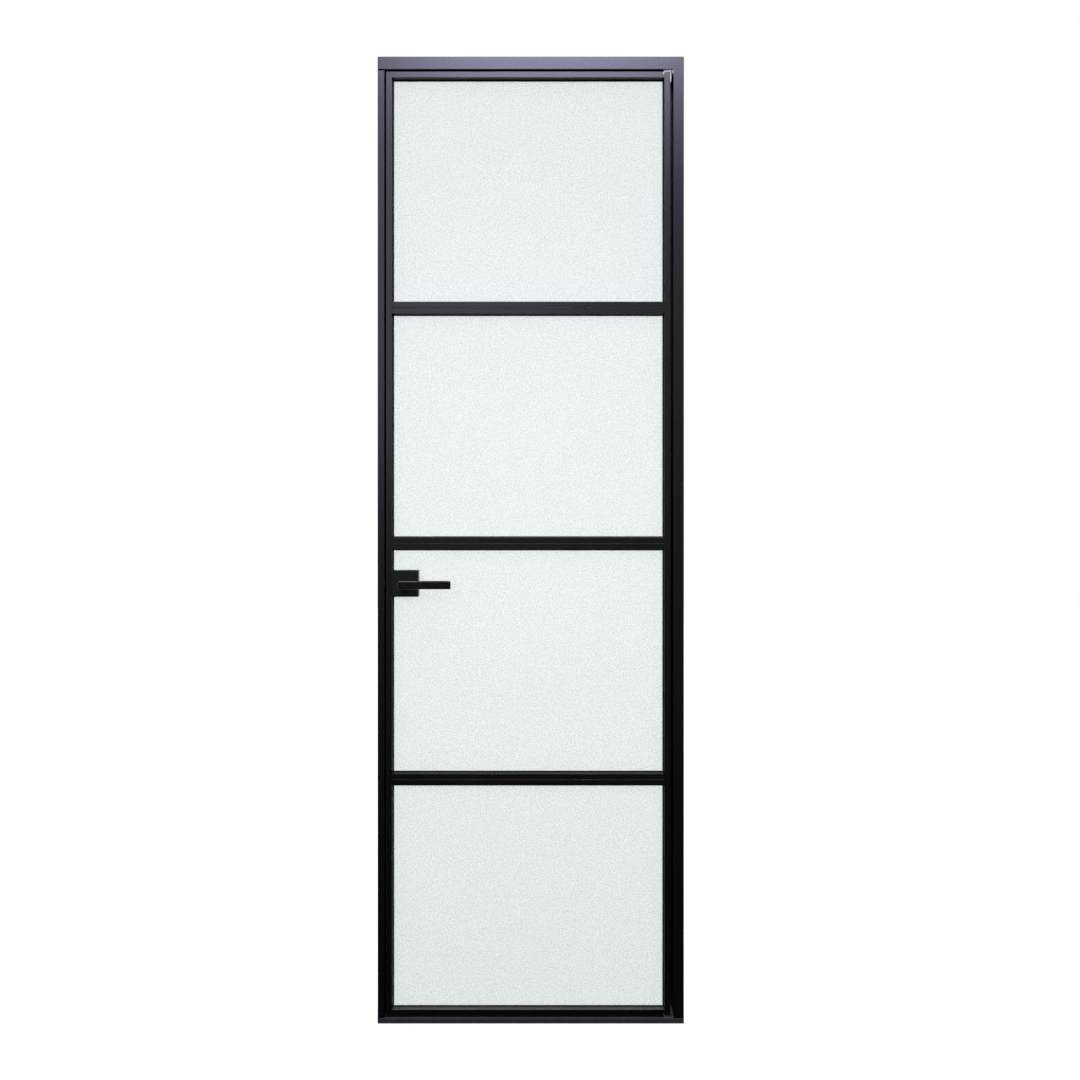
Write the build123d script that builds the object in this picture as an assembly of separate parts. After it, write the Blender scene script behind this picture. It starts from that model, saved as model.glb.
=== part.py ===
from build123d import *
import os

# Narrow-framed glass door with four panes, hung in its own frame on a top and a bottom pivot.
# Millimetres, +Z up. The front of the door faces -Y. The origin is on the floor, midway between
# the outer edges of the frame, in the middle plane of the leaf.

# Door frame, of extruded aluminium
frame_width = 697.0
frame_height = 2200.0
frame_depth = 90.0
head_face = 29.0
lock_jamb_face = 15.5
hinge_jamb_face = 24.0
frame_wall = 2.0
stop_projection = 12.5
shadow_groove = 2.5
shadow_depth = 6.0
port_radius = 4.5
port_melt = 0.2
edge_round = 0.8

# Threshold
threshold_height = 12.5
threshold_wall = 2.5
threshold_bevel = 2.0
threshold_cells = 3
tread_grooves = 5
tread_pitch = 6.0
tread_width = 2.0
tread_depth = 0.6

# Leaf, of mitred aluminium sections with true glazing bars
leaf_thickness = 35.0
leaf_recess = 2.0
leaf_face = 14.0
leaf_wall = 1.8
bar_face = 27.5
bar_groove_width = 3.2
bar_groove_depth = 1.6
pane_count = 4
top_gap = 4.0
bottom_gap = 4.0
lock_gap = 3.0
hinge_gap = 6.4
seal_gap = 3.0

# Glass and its gaskets
glass_thickness = 5.0
glass_bite = 5.5
glazing_groove = 7.0
gasket_thickness = 2.0
gasket_bite = 5.0
gasket_lip = 2.5
gasket_bevel = 1.0
setting_block_length = 40.0
setting_block_inset = 90.0

# Weather seals in the stops
seal_from_edge = 4.0
seal_neck_width = 2.4
seal_neck_depth = 1.5
seal_foot_width = 4.6
seal_foot_depth = 2.2
seal_bulb_width = 4.4
seal_bulb = 2.5
hinge_seal_bulb = 1.5

# Pivots
pivot_setback = 7.0
pin_radius = 2.5
pin_depth = 18.0
pin_bevel = 0.6
bush_radius = 4.0
bush_length = 20.0
plate_thickness = 1.5
plate_upturn = 8.0
plate_screw_back = 10.0
plate_screw_pitch = 8.0
strap_flange = 23.0
strap_screw_drop = 17.25
strap_hook = 7.0
strap_overhang = 2.0
strap_bend = 5.0
thrust_washer = 0.9
washer_radius = 5.5
pivot_block_arm = 45.0

# Corner cleats
cleat_arm = 70.0
leaf_cleat_arm = 40.0

# Lever set and latch; lever_drop is from the middle glazing bar's middle down to the levers' axis
lever_drop = 90.5
rose_size = 60.0
rose_wall = 2.5
rose_face_wall = 4.0
rose_stand = 10.0
rose_step = 1.5
rose_step_height = 2.0
rose_corner = 5.0
rose_bevel = 0.6
rose_face_round = 0.5
rose_screw_offset = 18.0
rose_screw_radius = 2.0
rose_screw_short = 8.0
sleeve_wall = 1.0
sleeve_head_rise = 1.5
sleeve_head_height = 1.2
sleeve_cap = 6.0
case_half_depth = 15.0
case_half_height = 27.0
case_wall = 3.0
case_neck_height = 44.0
case_neck_depth = 20.0
lever_reach = 108.0
lever_heel = 9.5
lever_height = 18.5
lever_thickness = 10.0
lever_bow = 2.2
lever_edge = 1.0
lever_projection = 43.0
neck_radius = 8.0
neck_tail = 2.5
neck_sink = 2.0
lever_bush_recess = 1.5
lever_bush_length = 6.0
lever_bush_wall = 2.5
clip_thickness = 1.0
clip_rise = 1.8
clip_groove = 1.0
clip_opening = 4.0
grub_radius = 2.0
grub_socket = 1.1
grub_socket_depth = 1.5
spindle_size = 8.0
spindle_short = 6.0
follower_radius = 11.0
follower_trunnion = 7.2
bolt_height = 14.0
bolt_thickness = 12.0
bolt_length = 30.0
bolt_proud = 0.3
bolt_travel = 9.0
bolt_play = 1.0
faceplate_height = 56.0
faceplate_width = 22.0
faceplate_thickness = 2.0
strike_height = 70.0
strike_width = 24.0
strike_thickness = 1.2
strike_lip_height = 14.0
strike_lip_rise = 1.8
strike_lip_overlap = 3.5
strike_lip_inset = 0.5
strike_box_wall = 1.0
magnet_thickness = 2.5

# Screws; the ratios are to a screw's own radius
screw_head_ratio = 1.9
screw_cone_ratio = 0.9
socket_ratio = 0.9
socket_depth_ratio = 0.8
pan_head_ratio = 1.8
pan_height_ratio = 1.2
jamb_screw_radius = 2.1
jamb_screw_length = 40.0
small_screw_radius = 1.6
small_screw_length = 6.0
bar_screw_radius = 2.0
bar_screw_length = 36.0
faceplate_screw_length = 20.0
faceplate_screw_offset = 15.5
faceplate_screw_bore = 12.0
strike_screw_radius = 1.1
strike_screw_inset = 7.0
fixing_radius = 3.2
fixing_spacing = 850.0
floor_fixing_radius = 2.6
floor_fixing_spacing = 230.0

# Clearances
press = 0.02
slip = 0.1
running = 0.05
free_gap = 0.3

# Places that follow from the dimensions
half_width = frame_width / 2
half_leaf = leaf_thickness / 2
frame_front = -half_leaf - leaf_recess
frame_back = frame_front + frame_depth
stop_front = half_leaf + seal_gap
head_bottom = frame_height - head_face
lock_face_x = -half_width + lock_jamb_face
hinge_face_x = half_width - hinge_jamb_face
leaf_left = lock_face_x + lock_gap
leaf_right = hinge_face_x - hinge_gap
leaf_bottom = threshold_height + bottom_gap
leaf_top = head_bottom - top_gap
leaf_width = leaf_right - leaf_left
leaf_height = leaf_top - leaf_bottom
sight_left = leaf_left + leaf_face
sight_right = leaf_right - leaf_face
sight_height = (leaf_height - 2 * leaf_face - (pane_count - 1) * bar_face) / pane_count
groove_half = glass_thickness / 2 + gasket_thickness
handle_height = (leaf_top + leaf_bottom) / 2 - lever_drop
pivot_x = leaf_right - leaf_face / 2
pivot_y = -half_leaf + pivot_setback
rose_x = sight_left + free_gap + rose_size / 2
rose_left = rose_x - rose_size / 2
rose_back = glass_thickness / 2
rose_shoulder = half_leaf + rose_stand
rose_front = rose_shoulder + rose_step_height
lever_front = rose_front + lever_projection
bolt_nose = leaf_left - bolt_proud
bush_front = -rose_front + lever_bush_recess
clip_front = bush_front + lever_bush_length + free_gap
neck_end = clip_front + neck_tail
sleeve_radius = rose_screw_radius + sleeve_wall
lever_bush_radius = neck_radius + lever_bush_wall
lever_back = lever_front - lever_thickness
spindle_reach = lever_back - spindle_short
grub_depth = -(rose_front + lever_back) / 2


def block(x0, x1, y0, y1, z0, z1):
    """A block between two opposite corners."""
    return Pos((x0 + x1) / 2, (y0 + y1) / 2, (z0 + z1) / 2) * Box(x1 - x0, y1 - y0, z1 - z0)


def flat(u0, u1, v0, v1):
    """A flat rectangle between two opposite corners."""
    return Pos((u0 + u1) / 2, (v0 + v1) / 2) * Rectangle(u1 - u0, v1 - v0)


def rod(start, direction, radius, length):
    """A round bar from a point along a direction."""
    plane = Plane(origin=start, z_dir=direction)
    return plane * Cylinder(radius, length, align=(Align.CENTER, Align.CENTER, Align.MIN))


def tube(start, direction, radius, bore, length):
    """A round tube from a point along a direction."""
    return rod(start, direction, radius, length) - rod(start, direction, bore, length)


def eased(section, corners):
    """A section whose named corners are rounded, as an extrusion's outer edges are."""
    found = [vertex for vertex in section.vertices()
             if any(abs(vertex.X - u) + abs(vertex.Y - v) < slip for u, v in corners)]
    return fillet(found, edge_round)


def upright_left(x, z):
    """Working plane of a left upright: u runs right from its outer edge, v back, w up."""
    return Plane(origin=(x, 0, z), x_dir=(1, 0, 0), z_dir=(0, 0, 1))


def upright_right(x, z):
    """Working plane of a right upright: u runs left from its outer edge, v back, w down."""
    return Plane(origin=(x, 0, z), x_dir=(-1, 0, 0), z_dir=(0, 0, -1))


def rail_upper(x, z):
    """Working plane of an upper rail: u runs down from its outer edge, v back, w right."""
    return Plane(origin=(x, 0, z), x_dir=(0, 0, -1), z_dir=(1, 0, 0))


def rail_lower(x, z):
    """Working plane of a lower rail: u runs up from its outer edge, v back, w left."""
    return Plane(origin=(x, 0, z), x_dir=(0, 0, 1), z_dir=(-1, 0, 0))


def member(section, length, start=None, end=None):
    """A section drawn out along w, with 45 degree mitres that meet the outer edge at start and end."""
    bar = extrude(section, amount=length)
    if start is not None:
        bar = split(bar, bisect_by=Plane(origin=(0, 0, start), z_dir=(-1, 0, 1)), keep=Keep.TOP)
    if end is not None:
        bar = split(bar, bisect_by=Plane(origin=(0, 0, end), z_dir=(-1, 0, -1)), keep=Keep.TOP)
    return bar


def countersunk(radius, length, spread=0.0):
    """A countersunk screw with its face at the origin, running down -Z; spread makes the hole for it."""
    shank = radius + spread
    head = screw_head_ratio * radius + spread
    cone = screw_cone_ratio * radius
    outline = Polyline((0, 0), (head, 0), (shank, -cone), (shank, -length - spread),
                       (0, -length - spread), (0, 0))
    return revolve(make_face(Plane.XZ * outline), axis=Axis.Z)


def socketed(radius, length):
    """A countersunk screw with a hexagon socket."""
    socket = extrude(RegularPolygon(socket_ratio * radius, 6), amount=-socket_depth_ratio * radius)
    return countersunk(radius, length) - socket


def pan_screw(radius, length):
    """A pan-head screw whose head sits on the origin plane and whose shank runs up +Z."""
    height = pan_height_ratio * radius
    head = rod((0, 0, -height), (0, 0, 1), pan_head_ratio * radius, height)
    return head + rod((0, 0, 0), (0, 0, 1), radius, length)


def aim(point, direction):
    """A place at a point with local +Z along a direction."""
    return Plane(origin=point, z_dir=direction)


# Frame sections

def port_centres():
    """Centres of the two screw ports in a frame section, each one melted into a chamber's outer corner."""
    inset = frame_wall + port_radius - port_melt
    return [(inset, frame_front + inset), (inset, stop_front + inset)]


def frame_section(face):
    """Rebated hollow section of the frame: a front leg, and a stop behind the leaf with a seal groove."""
    stop = face + stop_projection
    slot = stop - seal_from_edge
    neck_end = stop_front + seal_neck_depth
    foot_end = neck_end + seal_foot_depth
    outline = flat(0, face, frame_front, stop_front) + flat(0, stop, stop_front, frame_back)
    outline = eased(outline, [(0, frame_front), (face, frame_front), (0, frame_back), (stop, frame_back)])
    front_chamber = flat(frame_wall, face - frame_wall, frame_front + frame_wall, stop_front)
    rear_chamber = flat(frame_wall, stop - frame_wall, stop_front + frame_wall, frame_back - frame_wall)
    housing = flat(slot - seal_foot_width / 2 - frame_wall, stop, stop_front, foot_end + frame_wall)
    chambers = front_chamber + (rear_chamber - housing)
    for u, v in port_centres():
        chambers = chambers - Pos(u, v) * Circle(port_radius)
        chambers = chambers + Pos(u, v) * Circle(jamb_screw_radius + running)
    neck = flat(slot - seal_neck_width / 2, slot + seal_neck_width / 2, stop_front, neck_end)
    foot = flat(slot - seal_foot_width / 2, slot + seal_foot_width / 2, neck_end, foot_end)
    return outline - chambers - neck - foot


def seal_section(bulb):
    """Rubber seal: a foot and neck that fill the groove, and a bulb that stands out of it."""
    neck_end = stop_front + seal_neck_depth
    foot_end = neck_end + seal_foot_depth
    neck = flat(-seal_neck_width / 2 + slip, seal_neck_width / 2 - slip, stop_front, neck_end + slip)
    foot = flat(-seal_foot_width / 2 + slip, seal_foot_width / 2 - slip, neck_end + slip, foot_end - slip)
    front = Pos(0, stop_front) * Ellipse(seal_bulb_width / 2, bulb)
    front = front & flat(-seal_bulb_width, seal_bulb_width, stop_front - 2 * bulb, stop_front)
    return front + neck + foot


def jamb_fixings(x, direction, depth):
    """Cutters for the three wall-fixing holes through a jamb's rear chamber."""
    y = (stop_front + frame_back) / 2
    middle = frame_height / 2
    heights = [middle - fixing_spacing, middle, middle + fixing_spacing]
    return [rod((x, y, z), direction, fixing_radius, depth) for z in heights]


def cleat_depths():
    """Front and back of the cleats in the front chambers, clear of the screw ports."""
    return frame_front + 2 * port_radius + frame_wall, stop_front - slip


def make_head():
    """Head of the frame: square at the lock side, mitred at the hinge side."""
    mitre = frame_width - hinge_jamb_face + head_face
    head = rail_upper(-half_width, frame_height) * member(frame_section(head_face), frame_width, end=mitre)
    front, back = cleat_depths()
    inner = lock_face_x - frame_wall + slip
    opening = block(-half_width + frame_wall - slip, inner, front - slip, back + slip,
                    head_bottom - 1, head_bottom + frame_wall + 1)
    head = head - opening
    for hole in plate_screw_holes():
        head = head - hole
    return head


def head_envelope():
    """The solid outline of the head, to cope the lock jamb against."""
    stop_bottom = head_bottom - stop_projection
    outline = block(-half_width - 1, half_width, frame_front - 1, stop_front, head_bottom, frame_height)
    return outline + block(-half_width - 1, half_width, stop_front, frame_back + 1, stop_bottom, frame_height)


def make_lock_jamb():
    """Jamb at the lock side: butted and coped under the head, with a shadow groove at its top."""
    jamb = upright_left(-half_width, threshold_height) * member(
        frame_section(lock_jamb_face), frame_height - threshold_height)
    jamb = jamb - head_envelope()
    groove = block(-half_width - 1, lock_face_x + 1, frame_front - 1, frame_front + shadow_depth,
                   head_bottom - shadow_groove, head_bottom + 1)
    jamb = jamb - groove
    strike_back = lock_face_x - strike_thickness
    recess = block(strike_back, lock_face_x + 1, -strike_width / 2, strike_width / 2,
                   handle_height - strike_height / 2, handle_height + strike_height / 2)
    half_y, half_z = strike_box_halves()
    pocket = block(lock_face_x - frame_wall - 1, lock_face_x + 1, -half_y - slip, half_y + slip,
                   handle_height - half_z - slip, handle_height + half_z + slip)
    jamb = jamb - recess - pocket
    for z in strike_screw_heights():
        jamb = jamb - rod((lock_face_x, 0, z), (-1, 0, 0), strike_screw_radius + running, 2 * frame_wall)
    for hole in jamb_fixings(-half_width - 1, (1, 0, 0), lock_jamb_face + stop_projection + 2):
        jamb = jamb - hole
    return jamb


def make_hinge_jamb():
    """Jamb at the hinge side: mitred to the head."""
    mitre = head_face - hinge_jamb_face
    jamb = upright_right(half_width, frame_height) * member(
        frame_section(hinge_jamb_face), frame_height - threshold_height, start=mitre)
    for hole in jamb_fixings(half_width + 1, (-1, 0, 0), hinge_jamb_face + stop_projection + 2):
        jamb = jamb - hole
    return jamb


def make_threshold():
    """Threshold: an open-bottomed extrusion that both jambs stand on, with a grooved tread behind the leaf."""
    inner = threshold_height - threshold_wall
    section = flat(0, threshold_height, frame_front, frame_back)
    cell = (frame_depth - (threshold_cells + 1) * threshold_wall) / threshold_cells
    for index in range(threshold_cells):
        start = frame_front + threshold_wall + index * (cell + threshold_wall)
        section = section - flat(0, inner, start, start + cell)
    bevel = Polyline((threshold_height, frame_front), (threshold_height, frame_front + threshold_bevel),
                     (threshold_height - threshold_bevel, frame_front), (threshold_height, frame_front))
    section = section - make_face(bevel)
    middle = (stop_front + frame_back) / 2
    for index in range(tread_grooves):
        v = middle + (index - (tread_grooves - 1) / 2) * tread_pitch
        groove = flat(threshold_height - tread_depth, threshold_height, v - tread_width / 2, v + tread_width / 2)
        section = section - groove
    sill = rail_lower(half_width, 0) * extrude(section, amount=frame_width)
    for x, y in jamb_screw_places():
        sill = sill - rod((x, y, inner - 1), (0, 0, 1), jamb_screw_radius + slip, threshold_wall + 2)
    for index in (-1, 0, 1):
        x = index * floor_fixing_spacing
        sill = sill - rod((x, middle, inner - 1), (0, 0, 1), floor_fixing_radius, threshold_wall + 2)
    for hole in plate_screw_holes():
        sill = sill - hole.mirror(frame_middle())
    return sill


def jamb_screw_places():
    """Plan positions of the screws that go up through the threshold into the jambs' ports."""
    places = []
    for u, v in port_centres():
        places.append((-half_width + u, v))
        places.append((half_width - u, v))
    return places


def make_jamb_screws():
    """Pan-head screws under the threshold."""
    top = threshold_height - threshold_wall
    return [Pos(x, y, top) * pan_screw(jamb_screw_radius, jamb_screw_length) for x, y in jamb_screw_places()]


def make_head_seal():
    """Seal across the head's stop; it ends short of the hinge corner, where the turning leaf reaches back."""
    z = head_bottom - stop_projection + seal_from_edge
    left = lock_face_x + free_gap
    reach = leaf_right + plate_thickness - pivot_x
    right = pivot_x - reach - free_gap
    return rail_upper(left, z) * extrude(seal_section(seal_bulb), amount=right - left)


def make_lock_seal():
    """Seal up the lock jamb's stop."""
    x = lock_face_x + stop_projection - seal_from_edge
    bottom = threshold_height + free_gap
    top = head_bottom - stop_projection - free_gap
    return upright_left(x, bottom) * extrude(seal_section(seal_bulb), amount=top - bottom)


def make_hinge_seal():
    """Seal up the hinge jamb's stop, lower than the others so that the turning edge clears it."""
    x = hinge_face_x - stop_projection + seal_from_edge
    bottom = threshold_height + free_gap
    top = head_bottom - stop_projection + seal_from_edge - seal_foot_width / 2 - free_gap
    return upright_left(x, bottom) * extrude(seal_section(hinge_seal_bulb), amount=top - bottom)


def corner_cleat(outer, side):
    """An L-shaped cleat in the front chambers of the head and of one jamb; side is -1 left, 1 right."""
    front, back = cleat_depths()
    face = lock_jamb_face if side < 0 else hinge_jamb_face
    edge = outer - side * (frame_wall + slip)
    inner = outer - side * (face - frame_wall - slip)
    tip = outer - side * cleat_arm
    low = head_bottom + frame_wall + slip
    high = frame_height - frame_wall - slip
    post = block(min(edge, inner), max(edge, inner), front, back, frame_height - cleat_arm - head_face, high)
    arm = block(min(edge, tip), max(edge, tip), front, back, low, high)
    cleat = post + arm
    for hole in plate_screw_holes():
        cleat = cleat - hole
    return cleat


# Leaf

def leaf_section(groove_bottom=glazing_groove):
    """Hollow section of a stile or rail: chambers before, behind and outside the glazing groove."""
    front = -half_leaf + leaf_wall
    near = -groove_half - leaf_wall
    outline = flat(0, leaf_face, -half_leaf, half_leaf)
    outline = eased(outline, [(u, v) for u in (0, leaf_face) for v in (-half_leaf, half_leaf)])
    groove = flat(leaf_face - groove_bottom, leaf_face, -groove_half, groove_half)
    front_chamber = flat(leaf_wall, leaf_face - leaf_wall, front, near)
    rear_chamber = flat(leaf_wall, leaf_face - leaf_wall, -near, -front)
    middle = flat(leaf_wall, leaf_face - groove_bottom - leaf_wall, -groove_half, groove_half)
    return outline - groove - front_chamber - rear_chamber - middle


def bar_section():
    """Hollow section of a glazing bar: a groove above and below, and a fine line along each face."""
    outline = flat(0, bar_face, -half_leaf, half_leaf)
    outline = eased(outline, [(u, v) for u in (0, bar_face) for v in (-half_leaf, half_leaf)])
    front = -half_leaf + leaf_wall
    near = -groove_half - leaf_wall
    centre = bar_face / 2
    section = outline
    for start in (0, bar_face - glazing_groove):
        section = section - flat(start, start + glazing_groove, -groove_half, groove_half)
    front_chamber = flat(leaf_wall, bar_face - leaf_wall, front, near)
    rear_chamber = flat(leaf_wall, bar_face - leaf_wall, -near, -front)
    line_half = bar_groove_width / 2
    rib = flat(centre - line_half - leaf_wall, centre + line_half + leaf_wall,
               -half_leaf, -half_leaf + bar_groove_depth + leaf_wall)
    rear_rib = flat(centre - line_half - leaf_wall, centre + line_half + leaf_wall,
                    half_leaf - bar_groove_depth - leaf_wall, half_leaf)
    section = section - (front_chamber - rib) - (rear_chamber - rear_rib)
    line = flat(centre - line_half, centre + line_half, -half_leaf, -half_leaf + bar_groove_depth)
    rear_line = flat(centre - line_half, centre + line_half, half_leaf - bar_groove_depth, half_leaf)
    return section - line - rear_line - Pos(centre, 0) * Circle(bar_screw_radius + running)


def bar_centres():
    """Heights of the glazing bars' middles, from the top bar down."""
    pitch = sight_height + bar_face
    first = leaf_top - leaf_face - sight_height - bar_face / 2
    return [first - index * pitch for index in range(pane_count - 1)]


def pane_bottoms():
    """Heights of the panes' lower sight lines, from the top pane down."""
    first = leaf_top - leaf_face - sight_height
    return [first - index * (sight_height + bar_face) for index in range(pane_count)]


def access_hole(x, direction, z):
    """Cutters for a bar screw: an access hole in the stile's outer wall and a hole under its head."""
    wide = rod((x, 0, z), direction, pan_head_ratio * bar_screw_radius + 2 * free_gap, leaf_wall + 1)
    narrow = rod((x, 0, z), direction, bar_screw_radius + slip, leaf_face)
    return wide + narrow


def make_lock_stile():
    """Stile at the lock side, with the bolt's passage and the faceplate's recess."""
    stile = upright_left(leaf_left, leaf_bottom) * member(leaf_section(), leaf_height, start=0, end=leaf_height)
    for z in bar_centres():
        stile = stile - access_hole(leaf_left, (1, 0, 0), z)
    passage = block(leaf_left - 1, sight_left + 1, -bolt_thickness / 2 - free_gap, bolt_thickness / 2 + free_gap,
                    handle_height - bolt_height / 2 - free_gap, handle_height + bolt_height / 2 + free_gap)
    recess = block(leaf_left - 1, leaf_left + faceplate_thickness, -faceplate_width / 2, faceplate_width / 2,
                   handle_height - faceplate_height / 2, handle_height + faceplate_height / 2)
    stile = stile - passage - recess
    for z in faceplate_screw_heights():
        stile = stile - rod((leaf_left, 0, z), (1, 0, 0), bar_screw_radius + slip, leaf_face + 1)
    return stile


def make_hinge_stile():
    """Stile at the hinge side, bored for the pivot bushes and the straps' screws."""
    stile = upright_right(leaf_right, leaf_top) * member(leaf_section(), leaf_height, start=0, end=leaf_height)
    for z in bar_centres():
        stile = stile - access_hole(leaf_right, (-1, 0, 0), z)
    for hole in strap_screw_holes():
        stile = stile - hole
    return stile - bush_holes() - hook_notches()


def bush_holes():
    """Cutters for both pivot bushes, one down from the leaf's top and one up from its foot."""
    radius = bush_radius + press
    top = rod((pivot_x, pivot_y, leaf_top + 1), (0, 0, -1), radius, bush_length + 1)
    return top + rod((pivot_x, pivot_y, leaf_bottom - 1), (0, 0, 1), radius, bush_length + 1)


def hook_left():
    """Left face of the hooked end of a pivot strap."""
    return sight_right - strap_overhang


def hook_notches():
    """Cutters for the slots in both rails that take the straps' hooked ends."""
    left = hook_left() - slip
    right = left + plate_thickness + strap_bend
    depth = strap_hook - plate_thickness + slip
    slim = left + plate_thickness + 2 * slip
    y = half_leaf + 1
    top = block(left, slim, -y, y, leaf_top - depth, leaf_top + 1)
    bottom = block(left, slim, -y, y, leaf_bottom - 1, leaf_bottom + depth)
    top_bend = block(left, right, -y, y, leaf_top - strap_bend + plate_thickness, leaf_top + 1)
    bottom_bend = block(left, right, -y, y, leaf_bottom - 1, leaf_bottom + strap_bend - plate_thickness)
    return top + bottom + (top_bend - bend_core(1)) + (bottom_bend - bend_core(-1))


def bend_core(side):
    """What stays of the rail inside a strap's bend; side is 1 at the top and -1 at the foot."""
    inner = strap_bend - plate_thickness - slip
    edge = leaf_top if side > 0 else leaf_bottom
    centre_x = hook_left() + strap_bend
    centre_z = edge + side * (plate_thickness - strap_bend)
    return rod((centre_x, -leaf_thickness, centre_z), (0, 1, 0), inner, 2 * leaf_thickness)


def make_top_rail():
    """Top rail, mitred to both stiles."""
    rail = rail_upper(leaf_left, leaf_top) * member(leaf_section(), leaf_width, start=0, end=leaf_width)
    return rail - bush_holes() - hook_notches()


def make_bottom_rail():
    """Bottom rail, mitred to both stiles."""
    rail = rail_lower(leaf_right, leaf_bottom) * member(leaf_section(), leaf_width, start=0, end=leaf_width)
    return rail - bush_holes() - hook_notches()


def make_bar(z):
    """A glazing bar between the stiles."""
    plane = rail_upper(sight_left, z + bar_face / 2)
    return plane * extrude(bar_section(), amount=sight_right - sight_left)


def make_bar_screws():
    """Screws inside the stiles that hold each glazing bar end on."""
    screws = []
    seat = leaf_face - glazing_groove - leaf_wall
    for z in bar_centres():
        screws.append(aim((leaf_left + seat, 0, z), (1, 0, 0)) * pan_screw(bar_screw_radius, bar_screw_length))
        screws.append(aim((leaf_right - seat, 0, z), (-1, 0, 0)) * pan_screw(bar_screw_radius, bar_screw_length))
    return screws


def lock_notch(grow):
    """The block that the lock case takes out of the glass and gaskets, grown on its open sides."""
    half = rose_size / 2 - rose_wall + grow
    return block(leaf_left, rose_x + half, -half_leaf, half_leaf, handle_height - half, handle_height + half)


def make_pane(bottom):
    """A glass pane let into its grooves; the one at the handle is notched for the lock case."""
    pane = block(sight_left - glass_bite, sight_right + glass_bite, -glass_thickness / 2, glass_thickness / 2,
                 bottom - glass_bite, bottom + sight_height + glass_bite)
    if bottom < handle_height < bottom + sight_height:
        pane = pane - lock_notch(slip)
    return pane


def make_gaskets(bottom):
    """Front and rear gasket of a pane: a ring beside the glass with a bevelled lip in view."""
    y0 = glass_thickness / 2
    y1 = groove_half
    top = bottom + sight_height
    outer = block(sight_left - gasket_bite, sight_right + gasket_bite, y0, y1,
                  bottom - gasket_bite, top + gasket_bite)
    inner = block(sight_left + gasket_lip, sight_right - gasket_lip, y0 - 1, y1 + 1,
                  bottom + gasket_lip, top - gasket_lip)
    ring = outer - inner
    lip = [edge for edge in ring.edges().group_by(Axis.Y)[-1]
           if sight_left < edge.center().X < sight_right and bottom < edge.center().Z < top]
    ring = chamfer(lip, gasket_bevel)
    if bottom < handle_height < top:
        ring = ring - lock_notch(rose_wall + slip)
    return [ring, ring.mirror(Plane.XZ)]


def make_setting_blocks():
    """Two blocks under each pane's lower edge, on the bottom of the groove."""
    blocks = []
    for bottom in pane_bottoms():
        for x in (sight_left + setting_block_inset, sight_right - setting_block_inset):
            half = setting_block_length / 2
            blocks.append(block(x - half, x + half, -glass_thickness / 2, glass_thickness / 2,
                                bottom - glazing_groove, bottom - glass_bite))
    return blocks


def leaf_chamber(front):
    """Front and back of a stile's front or rear chamber, less a slip fit."""
    near = groove_half + leaf_wall + slip
    far = half_leaf - leaf_wall - slip
    return (-far, -near) if front else (near, far)


def leaf_cleat(x_side, z_side, arm, front):
    """An L-shaped cleat in the chambers of one leaf corner; the sides are -1 or 1."""
    y0, y1 = leaf_chamber(front)
    x_edge = leaf_right if x_side > 0 else leaf_left
    z_edge = leaf_top if z_side > 0 else leaf_bottom
    inset = leaf_wall + slip
    deep = leaf_face - leaf_wall - slip
    xs = sorted([x_edge - x_side * inset, x_edge - x_side * deep])
    zs = sorted([z_edge - z_side * inset, z_edge - z_side * deep])
    x_tip = sorted([x_edge - x_side * inset, x_edge - x_side * arm])
    z_tip = sorted([z_edge - z_side * inset, z_edge - z_side * arm])
    upright = block(xs[0], xs[1], y0, y1, z_tip[0], z_tip[1])
    return upright + block(x_tip[0], x_tip[1], y0, y1, zs[0], zs[1])


def make_leaf_cleats():
    """Cleats in the rear chambers of all four corners, and in the front chambers at the lock side."""
    cleats = []
    for z_side in (1, -1):
        hinge_cleat = leaf_cleat(1, z_side, leaf_cleat_arm, False) - hook_notches()
        for hole in strap_screw_holes():
            hinge_cleat = hinge_cleat - hole
        cleats.append(hinge_cleat)
        cleats.append(leaf_cleat(-1, z_side, leaf_cleat_arm, False))
        cleats.append(leaf_cleat(-1, z_side, leaf_cleat_arm, True))
    return cleats


# Pivots

def plate_screw_depths():
    """Depths of the two screws in each pivot plate, behind the pin."""
    first = pivot_y + plate_screw_back
    return [first, first + plate_screw_pitch]


def plate_screw_holes():
    """Cutters for the pivot plate's screws in the head."""
    radius = small_screw_radius + running
    length = small_screw_length + 1
    return [rod((pivot_x, y, head_bottom - 1), (0, 0, 1), radius, length) for y in plate_screw_depths()]


def strap_screw_places():
    """Height and depth of each screw through the straps' side flanges."""
    near, far = leaf_chamber(False)
    heights = (leaf_top - strap_screw_drop, leaf_bottom + strap_screw_drop)
    return [(z, y) for z in heights for y in (0.0, (near + far) / 2)]


def strap_screw_holes():
    """Cutters for the strap screws in the hinge stile and in the cleats behind it."""
    radius = small_screw_radius + running
    length = small_screw_length + 1
    return [rod((leaf_right + 1, y, z), (-1, 0, 0), radius, length) for z, y in strap_screw_places()]


def at_foot(shape):
    """The foot's version of a part made for the top: turned over about the leaf's middle height."""
    return shape.mirror(Plane(origin=(0, 0, (leaf_top + leaf_bottom) / 2), z_dir=(0, 0, 1)))


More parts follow.
